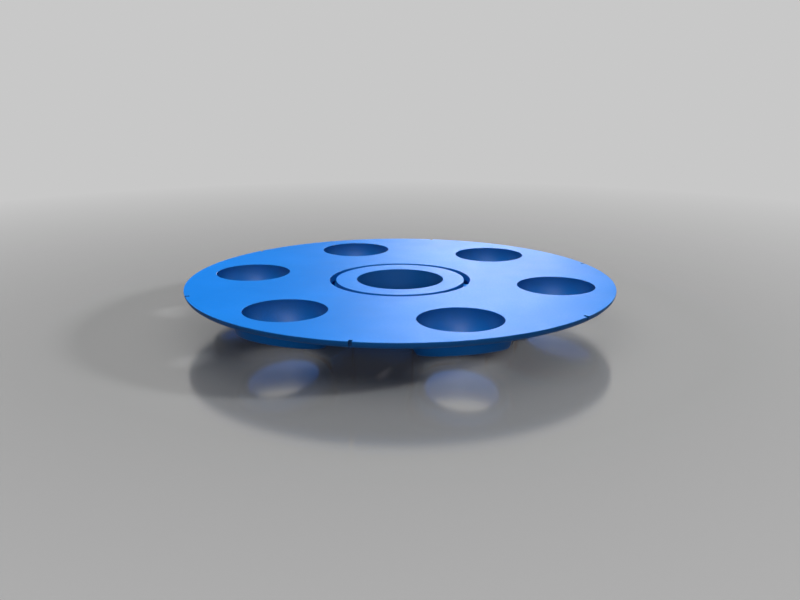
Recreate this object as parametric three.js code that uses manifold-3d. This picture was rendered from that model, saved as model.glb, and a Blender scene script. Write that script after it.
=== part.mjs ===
// A fidget spinner printed in one go: a thin disc with six ball seats turns on a captive ball
// race around a finger ring. Millimetres, +Z up. The origin is on the spin axis at the lowest
// face, and the first seat lies on +X.
import * as THREE from 'three';
import { mergeVertices } from 'three/addons/utils/BufferGeometryUtils.js';
import Module from 'manifold-3d';

// Disc
const HEIGHT = 7;
const DISC_RADIUS = 33.9;
const RIM_THICKNESS = 1.05; // the rim's side is a quarter round of this radius, under a sharp edge
const RIM_STEPS = 5;
const DISC_SEGMENTS = 96;

// Ball seats: spheres sunk into round bowls under the disc
const ARM_COUNT = 6;
const SEAT_PITCH_RADIUS = 24.75;
const SEAT_RADIUS = 6.05;
const SEAT_LIP = 0.75; // the sphere's centre lies this far below the top face
const SEAT_SEGMENTS = 26;
const SEAT_RINGS = 16;
const BOWL_WALL = 1.2;

// Underside: each bowl, and the web that joins it to the hub, ends on a plane that rises
// towards the rim
const UNDERSIDE_HEIGHT = 2.53; // under the middle of a seat
const UNDERSIDE_SLOPE = 0.243;
const WEB_WIDTH = 6;

// Rim slots, midway between the seats
const SLOT_WIDTH = 0.5;
const SLOT_DEPTH = 0.7;

// Ball race
const RACE_PITCH_RADIUS = 10.75;
const RACE_GAP = 1; // between the finger ring and the disc, at both faces
const BALL_COUNT = 12;
const BALL_RADIUS = 2.3;
const BALL_CLEARANCE = 0.15; // all round each ball
const BALL_SEGMENTS = 14;
const BALL_RINGS = 9;
const GROOVE_STEPS = 8;
const HUB_RADIUS = 14.6;
const HUB_CHAMFER = 0.5;
const HUB_SEGMENTS = 60;
const BORE_RADIUS = 6.9;

// Plastic
const BLUE = 0x1673d6;
const FACE_ROUGHNESS = 0.4;
const BALL_ROUGHNESS = 0.45;

const OVERLAP = 0.5; // how far joined shapes run into each other, and cutters past a face
const WELD_DISTANCE = 1e-4;
const HALF_GAP = RACE_GAP / 2;
const GROOVE_RADIUS = BALL_RADIUS + BALL_CLEARANCE;
const MID_HEIGHT = HEIGHT / 2;
const PLATE_FLOOR = HEIGHT - RIM_THICKNESS;

const wasm = await Module();
wasm.setup();

function toSolid(geometry) {
  const plain = geometry.index ? geometry.toNonIndexed() : geometry.clone();
  plain.deleteAttribute('normal');
  plain.deleteAttribute('uv');
  const merged = mergeVertices(plain, WELD_DISTANCE);
  return new wasm.Manifold(new wasm.Mesh({
    numProp: 3,
    vertProperties: new Float32Array(merged.attributes.position.array),
    triVerts: new Uint32Array(merged.index.array),
  }));
}

function toGeometry(solid) {
  const mesh = solid.getMesh();
  const geometry = new THREE.BufferGeometry();
  geometry.setAttribute('position', new THREE.BufferAttribute(mesh.vertProperties, 3));
  geometry.setIndex(new THREE.BufferAttribute(mesh.triVerts, 1));
  geometry.computeVertexNormals();
  return geometry;
}

// A ring turned about +Z. The profile's [radius, height] points run anticlockwise.
function turned(profile, segments) {
  const points = [...profile, profile[0]].map(([radius, height]) => new THREE.Vector2(radius, height));
  return toSolid(new THREE.LatheGeometry(points, segments).rotateX(Math.PI / 2));
}

// Points on an arc about [radius, height], between two angles measured from the outward direction.
function arc(centreRadius, centreHeight, radius, from, to, steps) {
  return Array.from({ length: steps + 1 }, (_, step) => {
    const angle = from + ((to - from) * step) / steps;
    return [centreRadius + radius * Math.cos(angle), centreHeight + radius * Math.sin(angle)];
  });
}

const armAngle = (arm) => (arm * 2 * Math.PI) / ARM_COUNT;

// Turns and moves a geometry so that its +X points out along one arm.
function onArm(geometry, angle) {
  return toSolid(geometry.clone().rotateZ(angle));
}

function discPlate() {
  const rim = arc(DISC_RADIUS - RIM_THICKNESS, HEIGHT, RIM_THICKNESS, -Math.PI / 2, 0, RIM_STEPS);
  return turned([[HUB_RADIUS - OVERLAP, PLATE_FLOOR], ...rim, [HUB_RADIUS - OVERLAP, HEIGHT]],
    DISC_SEGMENTS);
}

// The hub carries the outer half of the ball race behind a lip at each face.
function hub() {
  const lipAngle = Math.acos(HALF_GAP / GROOVE_RADIUS);
  const groove = arc(RACE_PITCH_RADIUS, MID_HEIGHT, GROOVE_RADIUS, lipAngle, -lipAngle, GROOVE_STEPS);
  const inside = RACE_PITCH_RADIUS + HALF_GAP;
  return turned([
    [inside, 0], [HUB_RADIUS - HUB_CHAMFER, 0], [HUB_RADIUS, HUB_CHAMFER],
    [HUB_RADIUS, HEIGHT], [inside, HEIGHT], ...groove,
  ], HUB_SEGMENTS);
}

// The space between the underside's rising plane and the middle of the disc plate, on +X.
function armSpace() {
  const size = 4 * SEAT_PITCH_RADIUS;
  const abovePlane = new THREE.BoxGeometry(size, size, size).translate(0, 0, size / 2)
    .rotateY(-Math.atan(UNDERSIDE_SLOPE)).translate(SEAT_PITCH_RADIUS, 0, UNDERSIDE_HEIGHT);
  const height = PLATE_FLOOR + OVERLAP;
  const belowDisc = new THREE.BoxGeometry(size, size, height).translate(0, 0, height / 2);
  return toSolid(abovePlane).intersect(toSolid(belowDisc));
}

function bowlAndWeb() {
  const bowl = new THREE.SphereGeometry(SEAT_RADIUS + BOWL_WALL, SEAT_SEGMENTS, SEAT_RINGS)
    .rotateX(Math.PI / 2).translate(SEAT_PITCH_RADIUS, 0, HEIGHT - SEAT_LIP);
  const start = HUB_RADIUS - OVERLAP;
  const length = SEAT_PITCH_RADIUS - start;
  const web = new THREE.BoxGeometry(length, WEB_WIDTH, 2 * HEIGHT)
    .translate(start + length / 2, 0, 0);
  return toGeometry(toSolid(bowl).add(toSolid(web)).intersect(armSpace()));
}

function seatCutter(angle) {
  const sphere = new THREE.SphereGeometry(SEAT_RADIUS, SEAT_SEGMENTS, SEAT_RINGS)
    .rotateX(Math.PI / 2).translate(SEAT_PITCH_RADIUS, 0, HEIGHT - SEAT_LIP);
  return onArm(sphere, angle);
}

function slotCutter(angle) {
  const slot = new THREE.BoxGeometry(SLOT_DEPTH + OVERLAP, SLOT_WIDTH, RIM_THICKNESS + 2 * OVERLAP)
    .translate(DISC_RADIUS + (OVERLAP - SLOT_DEPTH) / 2, 0, HEIGHT - RIM_THICKNESS / 2);
  return onArm(slot, angle);
}

function spinnerDisc() {
  const arm = bowlAndWeb();
  let disc = discPlate().add(hub());
  for (let number = 0; number < ARM_COUNT; number += 1) {
    disc = disc.add(onArm(arm, armAngle(number)));
  }
  for (let number = 0; number < ARM_COUNT; number += 1) {
    const angle = armAngle(number);
    disc = disc.subtract(seatCutter(angle)).subtract(slotCutter(angle + Math.PI / ARM_COUNT));
  }
  return toGeometry(disc);
}

function fingerRing() {
  const lipAngle = Math.acos(HALF_GAP / GROOVE_RADIUS);
  const groove = arc(RACE_PITCH_RADIUS, MID_HEIGHT, GROOVE_RADIUS,
    Math.PI + lipAngle, Math.PI - lipAngle, GROOVE_STEPS);
  const outside = RACE_PITCH_RADIUS - HALF_GAP;
  return toGeometry(turned([[BORE_RADIUS, 0], [outside, 0], ...groove,
    [outside, HEIGHT], [BORE_RADIUS, HEIGHT]], HUB_SEGMENTS));
}

function addMesh(group, name, geometry, roughness) {
  const material = new THREE.MeshStandardMaterial({ color: BLUE, roughness, metalness: 0 });
  const mesh = new THREE.Mesh(geometry, material);
  mesh.name = name;
  group.add(mesh);
  return mesh;
}

const spinner = new THREE.Group();
addMesh(spinner, 'spinner_disc', spinnerDisc(), FACE_ROUGHNESS);
addMesh(spinner, 'finger_ring', fingerRing(), FACE_ROUGHNESS);

const ballGeometry = new THREE.SphereGeometry(BALL_RADIUS, BALL_SEGMENTS, BALL_RINGS)
  .rotateX(Math.PI / 2);
for (let ball = 0; ball < BALL_COUNT; ball += 1) {
  const angle = ((ball + 0.5) * 2 * Math.PI) / BALL_COUNT;
  const name = `race_ball_${String(ball + 1).padStart(2, '0')}`;
  addMesh(spinner, name, ballGeometry.clone(), BALL_ROUGHNESS).position.set(
    RACE_PITCH_RADIUS * Math.cos(angle), RACE_PITCH_RADIUS * Math.sin(angle), MID_HEIGHT);
}

export default spinner;
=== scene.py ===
"""Looks for the fidget spinner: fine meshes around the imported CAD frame, plastic, light and camera.

Metres, +Z up, in the CAD's frame. The disc, the finger ring and the twelve race balls are rebuilt
here with rounded edges, fillets and true curves, each riding on its CAD body.
"""

import math

import bmesh
import bpy
from mathutils import Matrix, Vector


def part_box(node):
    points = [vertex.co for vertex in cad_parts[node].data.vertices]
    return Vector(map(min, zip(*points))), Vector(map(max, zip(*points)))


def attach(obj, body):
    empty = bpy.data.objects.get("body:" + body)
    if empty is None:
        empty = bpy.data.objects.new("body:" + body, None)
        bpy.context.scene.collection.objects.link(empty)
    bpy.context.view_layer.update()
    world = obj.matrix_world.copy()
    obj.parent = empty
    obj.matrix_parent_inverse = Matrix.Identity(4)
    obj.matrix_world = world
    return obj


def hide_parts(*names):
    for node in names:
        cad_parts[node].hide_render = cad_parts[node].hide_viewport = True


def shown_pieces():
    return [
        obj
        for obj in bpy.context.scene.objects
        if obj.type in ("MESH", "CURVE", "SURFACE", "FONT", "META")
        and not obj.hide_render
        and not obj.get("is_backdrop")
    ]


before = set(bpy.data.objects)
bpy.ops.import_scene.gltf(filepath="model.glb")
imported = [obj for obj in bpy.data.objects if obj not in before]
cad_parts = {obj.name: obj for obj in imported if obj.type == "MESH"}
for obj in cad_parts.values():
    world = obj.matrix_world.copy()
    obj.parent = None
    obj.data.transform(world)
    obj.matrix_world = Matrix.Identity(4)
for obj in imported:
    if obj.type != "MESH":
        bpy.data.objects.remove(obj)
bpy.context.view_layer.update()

MM = 0.001
TURN = 2 * math.pi

# Sizes that the frame gives
DISC_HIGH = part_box("spinner_disc")[1]
RING_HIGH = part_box("finger_ring")[1]
TOP = DISC_HIGH[2]
MIDDLE = TOP / 2
DISC_RADIUS = DISC_HIGH[0]
RING_OUTSIDE = RING_HIGH[0]

# The disc
RIM_THICKNESS = 1.05 * MM
EDGE_ROUND = 0.05 * MM
FILLET = 0.5 * MM
SLOT_WIDTH = 0.5 * MM
SLOT_DEPTH = 0.7 * MM
SLOT_DROP = 3.0 * MM  # how far the slots' cutters reach down, past the rim

# Ball seats in bowls, and the webs that join the bowls to the hub
ARMS = 6
SEAT_PITCH = 24.75 * MM
SEAT_RADIUS = 6.05 * MM
SEAT_LIP = 0.75 * MM
BOWL_RADIUS = 7.25 * MM
UNDERSIDE_HEIGHT = 2.53 * MM
UNDERSIDE_SLOPE = 0.243
UNDER_ROUND = 0.3 * MM
WEB_WIDTH = 6.0 * MM
WEB_ROOT = 1.2 * MM  # how far a web runs into the hub
LOWEST_WEB = 0.03 * MM  # keeps the webs' roots above the disc's lowest face

# The ball race
RACE_GAP = 1.0 * MM
RACE_PITCH = RING_OUTSIDE + RACE_GAP / 2
BALL_RADIUS = 2.3 * MM
BALL_CLEARANCE = 0.15 * MM
HUB_RADIUS = 14.6 * MM
HUB_ROUND = 0.6 * MM
BORE_RADIUS = 6.9 * MM
BALL_COUNT = 12

# How finely the meshes are drawn
DISC_SEGMENTS = 288
SEAT_SEGMENTS = 144
BOWL_STEPS = 60
SEAT_STEPS = 52
GROOVE_STEPS = 24
RIM_STEPS = 16
ROUND_STEPS = 8
FILLET_STEPS = 6
EDGE_STEPS = 4
WEB_STEPS = 6
BALL_SUBDIVISIONS = 4
SHARP_ANGLE = 32  # degrees; a sharper corner stays crisp
FLAT_WEIGHT = 80

PAST = 1.0 * MM  # how far a cutter runs past a face
ON_AXIS = 1e-9


# ---------------------------------------------------------------- meshes

def arc(centre, radius, start, end, steps):
    """Points on an arc of a [radius, height] profile, with angles in degrees from outward."""
    points = []
    for step in range(steps + 1):
        angle = math.radians(start + (end - start) * step / steps)
        points.append((centre[0] + radius * math.cos(angle), centre[1] + radius * math.sin(angle)))
    return points


def mesh_object(name, bm):
    bmesh.ops.recalc_face_normals(bm, faces=bm.faces)
    mesh = bpy.data.meshes.new(name)
    bm.to_mesh(mesh)
    bm.free()
    piece = bpy.data.objects.new(name, mesh)
    bpy.context.scene.collection.objects.link(piece)
    return piece


def turned(name, profile, segments, closed=True):
    """A solid of revolution about Z from [radius, height] points; an open profile ends on the axis."""
    bm = bmesh.new()
    rows = []
    for radius, height in profile:
        if radius < ON_AXIS:
            rows.append([bm.verts.new((0, 0, height))] * segments)
            continue
        rows.append([bm.verts.new((radius * math.cos(TURN * i / segments),
                                   radius * math.sin(TURN * i / segments), height))
                     for i in range(segments)])
    last = len(rows) if closed else len(rows) - 1
    for row in range(last):
        low, high = rows[row], rows[(row + 1) % len(rows)]
        for i in range(segments):
            j = (i + 1) % segments
            corners = [low[i], low[j], high[j], high[i]]
            unique = list(dict.fromkeys(corners))
            if len(unique) > 2:
                bm.faces.new(unique)
    return mesh_object(name, bm)


def tilted_seat_frame():
    """A frame at a seat's centre, with Z square to the plane that cuts its bowl."""
    return (Matrix.Translation((SEAT_PITCH, 0, TOP - SEAT_LIP))
            @ Matrix.Rotation(-math.atan(UNDERSIDE_SLOPE), 4, "Y"))


def mouth_depth():
    """From a seat's centre straight to the plane that cuts its bowl."""
    return (TOP - SEAT_LIP - UNDERSIDE_HEIGHT) * math.cos(math.atan(UNDERSIDE_SLOPE))


def rounded_corner(radius, depth, corner, sign):
    """Where a fillet of a sphere's edge with a plane lies: its centre and its two end angles.

    sign is 1 for an edge whose material is inside the sphere, and -1 for one outside it.
    """
    height = -depth + corner
    reach = math.sqrt((radius - sign * corner) ** 2 - height ** 2)
    return (reach, height), math.degrees(math.atan2(height, reach))


def bowl():
    """A ball seat's outer shell: a sphere cut by the underside's plane, with a rounded edge."""
    depth = mouth_depth()
    centre, tilt = rounded_corner(BOWL_RADIUS, depth, UNDER_ROUND, 1)
    profile = [(0.0, -depth)] + arc(centre, UNDER_ROUND, -90, tilt, ROUND_STEPS)
    profile += arc((0.0, 0.0), BOWL_RADIUS, tilt, 90, BOWL_STEPS)[1:-1] + [(0.0, BOWL_RADIUS)]
    piece = turned("bowl", profile, SEAT_SEGMENTS, closed=False)
    piece.data.transform(tilted_seat_frame())
    return piece


def bowl_collar():
    """The fillet between a bowl and the disc plate."""
    floor = TOP - RIM_THICKNESS
    drop = TOP - SEAT_LIP - (floor - FILLET)
    reach = math.sqrt((BOWL_RADIUS + FILLET) ** 2 - drop ** 2)
    start = 180 - math.degrees(math.asin(drop / (BOWL_RADIUS + FILLET)))
    profile = arc((reach, floor - FILLET), FILLET, start, 90, FILLET_STEPS)
    profile = [(0.0, profile[0][1])] + profile + [(reach, floor + FILLET), (0.0, floor + FILLET)]
    piece = turned("collar", profile, SEAT_SEGMENTS, closed=False)
    piece.data.transform(Matrix.Translation((SEAT_PITCH, 0, 0)))
    return piece


def web():
    """The rib from the hub to a bowl, rounded below and filleted where it meets the plate."""
    start, end = HUB_RADIUS - WEB_ROOT, SEAT_PITCH - SEAT_RADIUS
    half, roof = WEB_WIDTH / 2, TOP - RIM_THICKNESS
    side = arc((half - UNDER_ROUND, UNDER_ROUND), UNDER_ROUND, -90, 0, FILLET_STEPS)
    fillet = arc((half + FILLET, roof - FILLET), FILLET, 180, 90, FILLET_STEPS)
    bm = bmesh.new()
    loops = []
    for step in range(WEB_STEPS + 1):
        x = start + (end - start) * step / WEB_STEPS
        floor = max(UNDERSIDE_HEIGHT + UNDERSIDE_SLOPE * (x - SEAT_PITCH), LOWEST_WEB)
        right = [(y, floor + rise) for y, rise in side] + fillet + [(half + FILLET, roof + FILLET)]
        outline = right + [(-y, z) for y, z in reversed(right)]
        loops.append([bm.verts.new((x, y, z)) for y, z in outline])
    count = len(loops[0])
    for low, high in zip(loops, loops[1:]):
        for i in range(count):
            j = (i + 1) % count
            bm.faces.new((low[i], low[j], high[j], high[i]))
    bm.faces.new(loops[0])
    bm.faces.new(loops[-1])
    return mesh_object("web", bm)


def box_piece(name, low, high):
    bm = bmesh.new()
    bmesh.ops.create_cube(bm, size=1)
    size, middle = Vector(high) - Vector(low), (Vector(high) + Vector(low)) / 2
    bmesh.ops.transform(bm, verts=bm.verts,
                        matrix=Matrix.Translation(middle) @ Matrix.Diagonal((*size, 1)))
    return mesh_object(name, bm)


def seat_cutter():
    """A ball seat: a sphere that flares where it leaves the bowl, so that the edge is round."""
    depth = mouth_depth()
    corner, tilt = rounded_corner(SEAT_RADIUS, depth, UNDER_ROUND, -1)
    flare = arc(corner, UNDER_ROUND, -90, tilt - 180, ROUND_STEPS)
    profile = [(0.0, -depth - PAST), (corner[0], -depth - PAST)] + flare
    profile += arc((0.0, 0.0), SEAT_RADIUS, tilt, 90, SEAT_STEPS)[1:-1] + [(0.0, SEAT_RADIUS)]
    piece = turned("seat", profile, SEAT_SEGMENTS, closed=False)
    piece.data.transform(tilted_seat_frame())
    return piece


def mouth_cutter():
    """Rounds a ball seat's edge at the disc's top face."""
    rise = math.asin((SEAT_LIP - EDGE_ROUND) / (SEAT_RADIUS + EDGE_ROUND))
    reach = (SEAT_RADIUS + EDGE_ROUND) * math.cos(rise)
    edge = arc((reach, TOP - EDGE_ROUND), EDGE_ROUND, 180 + math.degrees(rise), 90, FILLET_STEPS)
    profile = [(0.0, edge[0][1])] + edge + [(reach, TOP + PAST), (0.0, TOP + PAST)]
    piece = turned("mouth", profile, SEAT_SEGMENTS, closed=False)
    piece.data.transform(Matrix.Translation((SEAT_PITCH, 0, 0)))
    return piece


def combine(target, tools, operation):
    """Applies one boolean after another to target, and removes the tools."""
    for tool in tools:
        modifier = target.modifiers.new("combine", "BOOLEAN")
        modifier.operation = operation
        modifier.solver = "MANIFOLD"
        modifier.object = tool
        settled = bpy.data.meshes.new_from_object(
            target.evaluated_get(bpy.context.evaluated_depsgraph_get()))
        target.modifiers.clear()
        target.data = settled
        bpy.data.objects.remove(tool)


def smooth(piece):
    """Smooth shading that stays crisp at corners, with flat faces kept flat."""
    piece.data.shade_smooth()
    piece.data.set_sharp_from_angle(angle=math.radians(SHARP_ANGLE))
    weighted = piece.modifiers.new("weighted_normals", "WEIGHTED_NORMAL")
    weighted.mode = "FACE_AREA"
    weighted.weight = FLAT_WEIGHT
    weighted.keep_sharp = True


def groove_angle():
    """Half of the arc, in degrees, that the race's groove takes behind its two lips."""
    return math.degrees(math.acos((RACE_GAP / 2) / (BALL_RADIUS + BALL_CLEARANCE)))


def disc_profile():
    """The disc and its hub in section, anticlockwise from the race's lower lip."""
    lip = RACE_PITCH + RACE_GAP / 2
    open_angle = groove_angle()
    floor = TOP - RIM_THICKNESS
    profile = arc((lip + EDGE_ROUND, EDGE_ROUND), EDGE_ROUND, 180, 270, EDGE_STEPS)
    profile += arc((HUB_RADIUS - HUB_ROUND, HUB_ROUND), HUB_ROUND, -90, 0, ROUND_STEPS)
    profile += arc((HUB_RADIUS + FILLET, floor - FILLET), FILLET, 180, 90, FILLET_STEPS)
    profile += arc((DISC_RADIUS - RIM_THICKNESS + EDGE_ROUND, TOP - EDGE_ROUND),
                   RIM_THICKNESS - EDGE_ROUND, -90, 0, RIM_STEPS)[:-1]
    profile += arc((DISC_RADIUS - EDGE_ROUND, TOP - EDGE_ROUND), EDGE_ROUND, 0, 90, EDGE_STEPS)
    profile += arc((lip + EDGE_ROUND, TOP - EDGE_ROUND), EDGE_ROUND, 90, 180, EDGE_STEPS)
    profile += arc((RACE_PITCH, MIDDLE), BALL_RADIUS + BALL_CLEARANCE,
                   open_angle, -open_angle, GROOVE_STEPS)
    return profile


def ring_profile():
    """The finger ring in section, anticlockwise from the bore's lower edge."""
    inside, outside = BORE_RADIUS + EDGE_ROUND, RING_OUTSIDE - EDGE_ROUND
    open_angle = groove_angle()
    profile = arc((inside, EDGE_ROUND), EDGE_ROUND, 180, 270, EDGE_STEPS)
    profile += arc((outside, EDGE_ROUND), EDGE_ROUND, 270, 360, EDGE_STEPS)
    profile += arc((RACE_PITCH, MIDDLE), BALL_RADIUS + BALL_CLEARANCE,
                   180 + open_angle, 180 - open_angle, GROOVE_STEPS)
    profile += arc((outside, TOP - EDGE_ROUND), EDGE_ROUND, 0, 90, EDGE_STEPS)
    profile += arc((inside, TOP - EDGE_ROUND), EDGE_ROUND, 90, 180, EDGE_STEPS)
    return profile


def copies_round(piece, start=0.0):
    """Copies of a piece made on +X, one for each arm; the piece itself is used up."""
    copies = []
    for arm in range(ARMS):
        copy = bpy.data.objects.new(piece.name, piece.data.copy())
        copy.data.transform(Matrix.Rotation(start + TURN * arm / ARMS, 4, "Z"))
        bpy.context.scene.collection.objects.link(copy)
        copies.append(copy)
    bpy.data.objects.remove(piece)
    return copies


def make_disc():
    """The disc in one mesh: plate, hub, bowls and webs, less the seats and the rim's slots."""
    disc = turned("disc_fine", disc_profile(), DISC_SEGMENTS)
    arm = bowl()
    span = 2 * BOWL_RADIUS
    above = box_piece("above", (SEAT_PITCH - span, -span, TOP - RIM_THICKNESS / 2),
                      (SEAT_PITCH + span, span, TOP + span))
    combine(arm, [above], "DIFFERENCE")
    combine(arm, [bowl_collar(), web()], "UNION")
    combine(disc, copies_round(arm), "UNION")
    slot = box_piece("slot", (DISC_RADIUS - SLOT_DEPTH, -SLOT_WIDTH / 2, TOP - SLOT_DROP),
                     (DISC_RADIUS + PAST, SLOT_WIDTH / 2, TOP + PAST))
    for cutter, start in ((seat_cutter(), 0), (mouth_cutter(), 0), (slot, TURN / ARMS / 2)):
        combine(disc, copies_round(cutter, start), "DIFFERENCE")
    smooth(disc)
    return disc


def make_ring():
    ring = turned("ring_fine", ring_profile(), DISC_SEGMENTS)
    smooth(ring)
    return ring


def make_ball(name, centre):
    bm = bmesh.new()
    bmesh.ops.create_icosphere(bm, subdivisions=BALL_SUBDIVISIONS, radius=BALL_RADIUS)
    bmesh.ops.translate(bm, verts=bm.verts, vec=centre)
    ball = mesh_object(name, bm)
    ball.data.shade_smooth()
    return ball


# ---------------------------------------------------------------- materials

BLUE = (0.003, 0.17, 0.615)
BALL_BLUE = (0.003, 0.155, 0.55)
SPECULAR = 0.2

DRIFT_SIZE = 14 * MM
SMUDGE_SIZE = 4 * MM
GRAIN_SIZE = 0.35 * MM
SKIN_SIZE = 0.16 * MM
HOLLOW_REACH = 0.8 * MM  # a slot narrower than about this is painted dark, as painted shade
EDGE_REACH = 0.22 * MM  # how wide the rubbed edges are
HOLLOW_SAMPLES = 6
EDGE_SAMPLES = 4
DEEP = 0.91  # how much of the colour is left where it drifts darkest
PALE = (2.0, 1.07, 1.05)  # factors on red, green and blue where it is palest
HOLLOW_SHADE = 0.08  # painted shade: what is left of the colour in the deepest hollows
RUBBED_RED = 0.1  # added, because a factor on so little red wouldn't show
RUBBED_GREEN = 1.35
RUBBED_BLUE = 1.05
SMUDGE_CHANGE = 0.015  # in roughness, either way
GRAIN_CHANGE = 0.03
EDGE_POLISH = 0.12
BUMP_STRENGTH = 0.5
BUMP_HEIGHT = 0.004 * MM


def feed(tree, socket, value):
    """Links a socket to another, or sets its value."""
    if isinstance(value, bpy.types.NodeSocket):
        tree.links.new(value, socket)
    else:
        socket.default_value = value


def add_node(tree, kind, settings=None, **inputs):
    """A shader node, with its settings and its inputs."""
    node = tree.nodes.new("ShaderNode" + kind)
    for name, value in (settings or {}).items():
        setattr(node, name, value)
    for name, value in inputs.items():
        feed(tree, node.inputs[name.replace("_", " ")], value)
    return node


def noise(tree, place, size, detail=2.0):
    """Cloudy noise from 0 to 1 whose blotches are about size metres across."""
    node = add_node(tree, "TexNoise", Vector=place, Scale=1 / size, Detail=detail)
    return node.outputs["Fac"]


def spread(tree, value, low, high, start=0.3, end=0.7):
    """Maps a noise's useful range, start to end, onto low to high."""
    node = add_node(tree, "MapRange", {"interpolation_type": "SMOOTHSTEP"}, Value=value,
                    From_Min=start, From_Max=end, To_Min=low, To_Max=high)
    return node.outputs["Result"]


def mixed(tree, factor, first, second):
    """A colour between two; factor is a socket, and each colour a socket or three channels."""
    node = add_node(tree, "Mix", {"data_type": "RGBA"}, Factor=factor)
    for name, colour in (("A", first), ("B", second)):
        feed(tree, node.inputs[name], (*colour, 1) if isinstance(colour, tuple) else colour)
    return node.outputs["Result"]


def maths(tree, operation, first, second):
    node = add_node(tree, "Math", {"operation": operation})
    feed(tree, node.inputs[0], first)
    feed(tree, node.inputs[1], second)
    return node.outputs["Value"]


def worn_edges(tree, patches, openings, amount):
    """A mask that is up to amount along the edges, where patches says that they are rubbed.

    openings is 0 in slots and inner corners, which nothing rubs.
    """
    rounded = add_node(tree, "Bevel", {"samples": EDGE_SAMPLES}, Radius=EDGE_REACH)
    surface = add_node(tree, "NewGeometry")
    along = add_node(tree, "VectorMath", {"operation": "DOT_PRODUCT"})
    feed(tree, along.inputs[0], rounded.outputs["Normal"])
    feed(tree, along.inputs[1], surface.outputs["Normal"])
    edge = spread(tree, along.outputs["Value"], amount, 0.0, start=0.8, end=0.99)
    rubbed = maths(tree, "MULTIPLY", edge, spread(tree, patches, 0.35, 1.0, start=0.4, end=0.6))
    return maths(tree, "MULTIPLY", rubbed, openings)


def openness(tree):
    """How open the space over a point is: 1 on a face, and less in a slot.

    Only the piece itself counts, so its neighbours and the floor don't darken it.
    """
    settings = {"samples": HOLLOW_SAMPLES, "only_local": True}
    node = add_node(tree, "AmbientOcclusion", settings, Distance=HOLLOW_REACH)
    return node.outputs["AO"]


def plastic(name, colour, roughness, offset, wear):
    """Satin plastic: soft drifts of colour, pigment grain, painted shade in slots and rubbed edges.

    offset moves the noise, so that no two pieces share a pattern; wear is how far edges are rubbed.
    """
    red, green, blue = colour
    deep = tuple(channel * DEEP for channel in colour)
    pale = tuple(channel * factor for channel, factor in zip(colour, PALE))
    painted_shade = tuple(channel * HOLLOW_SHADE for channel in colour)
    rubbed = (red + RUBBED_RED, green * RUBBED_GREEN, blue * RUBBED_BLUE)

    material = bpy.data.materials.new(name)
    material.use_nodes = True
    tree = material.node_tree
    shader = tree.nodes["Principled BSDF"]
    shader.inputs["Specular IOR Level"].default_value = SPECULAR
    place = add_node(tree, "Mapping", Vector=add_node(tree, "TexCoord").outputs["Object"],
                     Location=offset).outputs["Vector"]
    drift = noise(tree, place, DRIFT_SIZE)
    smudge = noise(tree, place, SMUDGE_SIZE, detail=4.0)
    grain = noise(tree, place, GRAIN_SIZE, detail=3.0)
    skin = noise(tree, place, SKIN_SIZE)

    body = mixed(tree, spread(tree, drift, 0.0, 1.0), deep, pale)
    speckled = mixed(tree, spread(tree, grain, 0.0, 0.7, start=0.35, end=0.75), body, pale)
    # painted shade: slots and hollows darken nearly to black by how enclosed they are, standing in for
    # shade
    space = openness(tree)
    unshaded = spread(tree, space, 0.0, 1.0, start=0.4, end=0.85)
    settled = mixed(tree, unshaded, painted_shade, speckled)
    touched = spread(tree, space, 0.0, 1.0, start=0.45, end=0.9)
    edges = worn_edges(tree, smudge, touched, wear)
    feed(tree, shader.inputs["Base Color"], mixed(tree, edges, settled, rubbed))

    satin = spread(tree, smudge, roughness - SMUDGE_CHANGE, roughness + SMUDGE_CHANGE)
    grainy = maths(tree, "ADD", satin, spread(tree, grain, -GRAIN_CHANGE, GRAIN_CHANGE))
    polished = maths(tree, "MULTIPLY", edges, EDGE_POLISH)
    feed(tree, shader.inputs["Roughness"], maths(tree, "SUBTRACT", grainy, polished))

    relief = maths(tree, "ADD", skin, grain)
    bump = add_node(tree, "Bump", Strength=BUMP_STRENGTH, Distance=BUMP_HEIGHT, Height=relief)
    feed(tree, shader.inputs["Normal"], bump.outputs["Normal"])
    return material


# ---------------------------------------------------------------- stage

BACKDROP = 0.578  # the brightness of the backdrop, which the floor fades into
FLOOR_HALF_WIDTH = 20
FLOOR_GREY = 0.175
FLOOR_GLOSS = 0.35  # the share of the floor's look that is gloss
FLOOR_BLUR = 0.15
FADE_START = 0.05  # metres from the spin axis
FADE_END = 0.18

# Azimuths run anticlockwise from +X, seen from above
WALL_AZIMUTH = 10.6
WALL_DISTANCE = 2.0
WALL_WATTS = 25.0
SHEEN_AZIMUTHS = (93.6, 182.4, -52.0, 2.4)  # the first faces the camera over the disc

CAMERA_DISTANCE = 137.0 * MM
CAMERA_HEIGHT = 39.98 * MM
CAMERA_AZIMUTH = math.radians(-79.37)
AIM_DROP = 0.06 * MM  # how far the camera aims below the middle of the object
SENSOR_WIDTH = 36
FOCAL_RATIO = 875 / 800  # focal length over sensor width
CLIP_NEAR = 0.005
CLIP_FAR = 20


def grey(level):
    return (level, level, level, 1)


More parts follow.
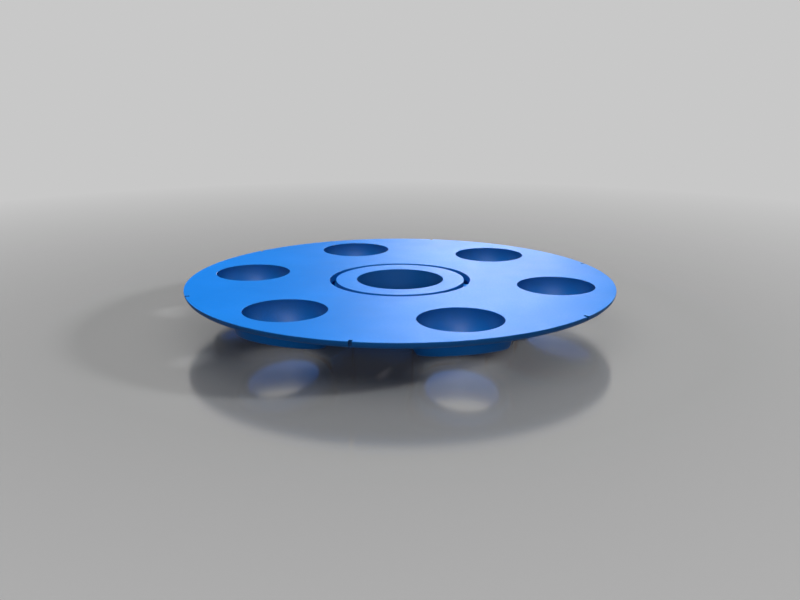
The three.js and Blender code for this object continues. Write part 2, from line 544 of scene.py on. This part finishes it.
def make_floor():
    """A pale, glossy table that fades into the backdrop away from the object."""
    bm = bmesh.new()
    bmesh.ops.create_grid(bm, x_segments=1, y_segments=1, size=FLOOR_HALF_WIDTH)
    floor = mesh_object("floor", bm)
    material = bpy.data.materials.new("floor")
    material.use_nodes = True
    tree = material.node_tree
    tree.nodes.remove(tree.nodes["Principled BSDF"])
    matt = add_node(tree, "BsdfDiffuse", Color=grey(FLOOR_GREY))
    gloss = add_node(tree, "BsdfGlossy", Color=grey(1.0), Roughness=FLOOR_BLUR)
    glow = add_node(tree, "Emission", Color=grey(BACKDROP))
    length = add_node(tree, "VectorMath", {"operation": "LENGTH"})
    feed(tree, length.inputs[0], add_node(tree, "TexCoord").outputs["Object"])
    fade = add_node(tree, "MapRange", Value=length.outputs["Value"], From_Min=FADE_START,
                    From_Max=FADE_END)
    table = add_node(tree, "MixShader", Fac=FLOOR_GLOSS)
    feed(tree, table.inputs[1], matt.outputs["BSDF"])
    feed(tree, table.inputs[2], gloss.outputs["BSDF"])
    whole = add_node(tree, "MixShader", Fac=fade.outputs["Result"])
    feed(tree, whole.inputs[1], table.outputs["Shader"])
    feed(tree, whole.inputs[2], glow.outputs["Emission"])
    feed(tree, tree.nodes["Material Output"].inputs["Surface"], whole.outputs["Shader"])
    floor.data.materials.append(material)
    floor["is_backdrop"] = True
    return floor


def area_light(kind, name, lit, azimuth, elevation, distance, size, watts):
    """A soft box that faces the object; lit is the collection that it lights.

    A fill light lights matt surfaces, and a sheen light shows only in glossy reflections. Azimuth
    and elevation are its direction from the object in degrees; distance and size are in metres.
    """
    turn, lift = math.radians(azimuth), math.radians(elevation)
    out = Vector((math.cos(lift) * math.cos(turn), math.cos(lift) * math.sin(turn), math.sin(lift)))
    data = bpy.data.lights.new(name, "AREA")
    data.energy = watts
    data.shape = "RECTANGLE"
    data.size, data.size_y = size
    light = bpy.data.objects.new(name, data)
    light.location = out * distance
    light.rotation_euler = out.to_track_quat("Z", "Y").to_euler()
    light.visible_camera = False
    light.visible_glossy = kind == "sheen"
    light.visible_diffuse = kind == "fill"
    bpy.context.scene.collection.objects.link(light)
    light.light_linking.receiver_collection = lit
    return light


def make_world():
    """An even backdrop, which only the camera sees."""
    world = bpy.data.worlds.new("backdrop")
    bpy.context.scene.world = world
    world.use_nodes = True
    world.node_tree.nodes["Background"].inputs["Color"].default_value = grey(BACKDROP)
    world.cycles_visibility.diffuse = False
    world.cycles_visibility.glossy = False


def collection_of(name, objects):
    collection = bpy.data.collections.new(name)
    for member in objects:
        collection.objects.link(member)
    return collection


def make_walls(on_floor):
    """Four pale walls and a ceiling that only the floor's gloss shows, alike from every side."""
    size = (2 * WALL_DISTANCE, 2 * WALL_DISTANCE)
    for side in range(4):
        area_light("sheen", f"wall_{side}", on_floor, WALL_AZIMUTH + 90 * side, 0, WALL_DISTANCE,
                   size, WALL_WATTS)
    area_light("sheen", "ceiling", on_floor, WALL_AZIMUTH, 90, WALL_DISTANCE, size, WALL_WATTS)


def make_lights(pieces, floor):
    """Separate lights for the object and the floor; the floor throws none of its own back."""
    on_pieces = collection_of("lit_pieces", pieces)
    on_floor = collection_of("lit_floor", [floor])
    floor.light_linking.receiver_collection = on_floor
    floor.visible_diffuse = False
    make_walls(on_floor)

    area_light("fill", "roof", on_pieces, 100, 86, 0.7, (0.4, 0.4), 7.55)
    area_light("fill", "front", on_pieces, -80, 15, 0.6, (0.1, 0.1), 0.62)
    area_light("sheen", "spots", on_pieces, -84, 32, 0.6, (0.1, 0.1), 3.4)
    for side, azimuth in enumerate(SHEEN_AZIMUTHS):
        area_light("sheen", f"sheen_{side}", on_pieces, azimuth, 16, 0.7, (0.16, 0.1), 0.92)
    below = area_light("fill", "below", on_pieces, 0, -90, 0.6, (1.0, 1.0), 0.35)
    below.light_linking.blocker_collection = on_pieces

    area_light("fill", "floor_roof", on_floor, 100, 86, 0.8, (2.0, 2.0), 16.5)
    area_light("fill", "floor_side", on_floor, 10, 22, 0.6, (0.06, 0.06), 6.0)
    area_light("fill", "floor_front", on_floor, -80, 14, 0.6, (0.5, 0.2), 2.4)


def make_camera():
    """The camera, and the plain view transform that keeps this blue from washing out."""
    bpy.context.scene.view_settings.view_transform = "Standard"
    data = bpy.data.cameras.new("camera")
    data.sensor_width = SENSOR_WIDTH
    data.lens = FOCAL_RATIO * SENSOR_WIDTH
    data.clip_start = CLIP_NEAR
    data.clip_end = CLIP_FAR
    camera = bpy.data.objects.new("camera", data)
    camera.location = (CAMERA_DISTANCE * math.cos(CAMERA_AZIMUTH),
                       CAMERA_DISTANCE * math.sin(CAMERA_AZIMUTH), CAMERA_HEIGHT)
    target = Vector((0, 0, MIDDLE - AIM_DROP))
    camera.rotation_euler = (target - camera.location).to_track_quat("-Z", "Y").to_euler()
    bpy.context.scene.collection.objects.link(camera)
    bpy.context.scene.camera = camera


# ---------------------------------------------------------------- assembly

make_camera()
make_world()
floor = make_floor()

disc_blue = plastic("disc_plastic", BLUE, 0.5, (0.0, 0.0, 0.0), 0.3)
ring_blue = plastic("ring_plastic", BLUE, 0.49, (0.31, 0.17, 0.05), 0.4)
ball_blue = plastic("ball_plastic", BALL_BLUE, 0.42, (0.13, 0.41, 0.29), 0.0)

disc = make_disc()
disc.data.materials.clear()  # the booleans leave an empty slot
disc.data.materials.append(disc_blue)
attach(disc, "disc")
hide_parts("spinner_disc")

ring = make_ring()
ring.data.materials.append(ring_blue)
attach(ring, "ring")
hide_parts("finger_ring")

for number in range(1, BALL_COUNT + 1):
    node = f"race_ball_{number:02d}"
    low, high = (Vector(corner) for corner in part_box(node))
    ball = make_ball(f"ball_fine_{number:02d}", (low + high) / 2)
    ball.data.materials.append(ball_blue)
    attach(ball, "balls")
    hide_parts(node)

make_lights(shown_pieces(), floor)
